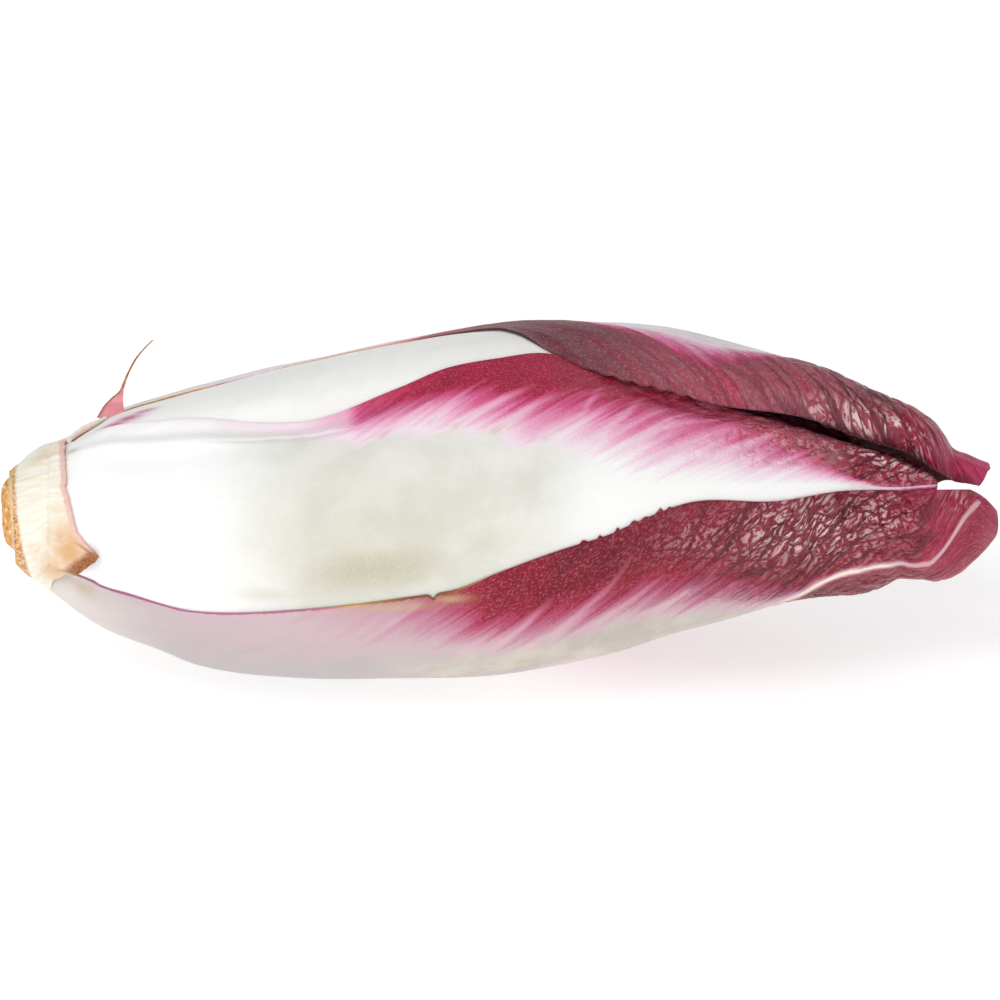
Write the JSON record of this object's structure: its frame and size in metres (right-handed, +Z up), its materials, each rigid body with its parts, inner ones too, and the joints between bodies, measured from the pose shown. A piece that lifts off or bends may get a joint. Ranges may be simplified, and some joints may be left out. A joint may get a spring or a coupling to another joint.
{
  "type": "endive spear",
  "caption": "Red endive spear lying on its side, its white-ribbed crimson leaves closed to a point, with a cut root stub and a torn dry leaf base.",
  "frame": {"origin": "under the middle of the head's bounding box, on the surface that it lies on", "axes": "+X from the cut root end to the leaf tips, +Z up, -Y towards the side that the picture shows"},
  "size_m": [0.1506, 0.0531, 0.0523],
  "materials": {
    "bottom_leaf": "crimson leaf with a white rib, moderately glossy",
    "top_leaf": "dark crimson leaf with a white rib, moderately glossy",
    "front_leaf": "white fleshy leaf with crimson sides, soft sheen",
    "back_leaf": "white fleshy leaf with crimson sides, soft sheen",
    "upper_leaf": "white fleshy leaf with crimson sides, soft sheen",
    "heart_leaf": "pale heart leaf with pink sides, soft sheen",
    "heart_bud": "pale closed bud, soft sheen",
    "root_stub": "cut root flesh with a browned rim, matt",
    "dry_leaf_base": "dry torn leaf base with tan stains, matt"
  },
  "bodies": {
    "root": {"outer_leaf_1": "bottom_leaf", "outer_leaf_2": "top_leaf", "outer_leaf_3": "front_leaf", "outer_leaf_4": "back_leaf", "outer_leaf_5": "upper_leaf", "inner_leaf_1": "heart_leaf", "inner_leaf_2": "heart_leaf", "inner_leaf_3": "heart_leaf", "inner_leaf_4": "heart_leaf", "heart_bud": "heart_bud", "stub": "root_stub", "torn_leaf_base": "dry_leaf_base"}
  },
  "joints": []
}
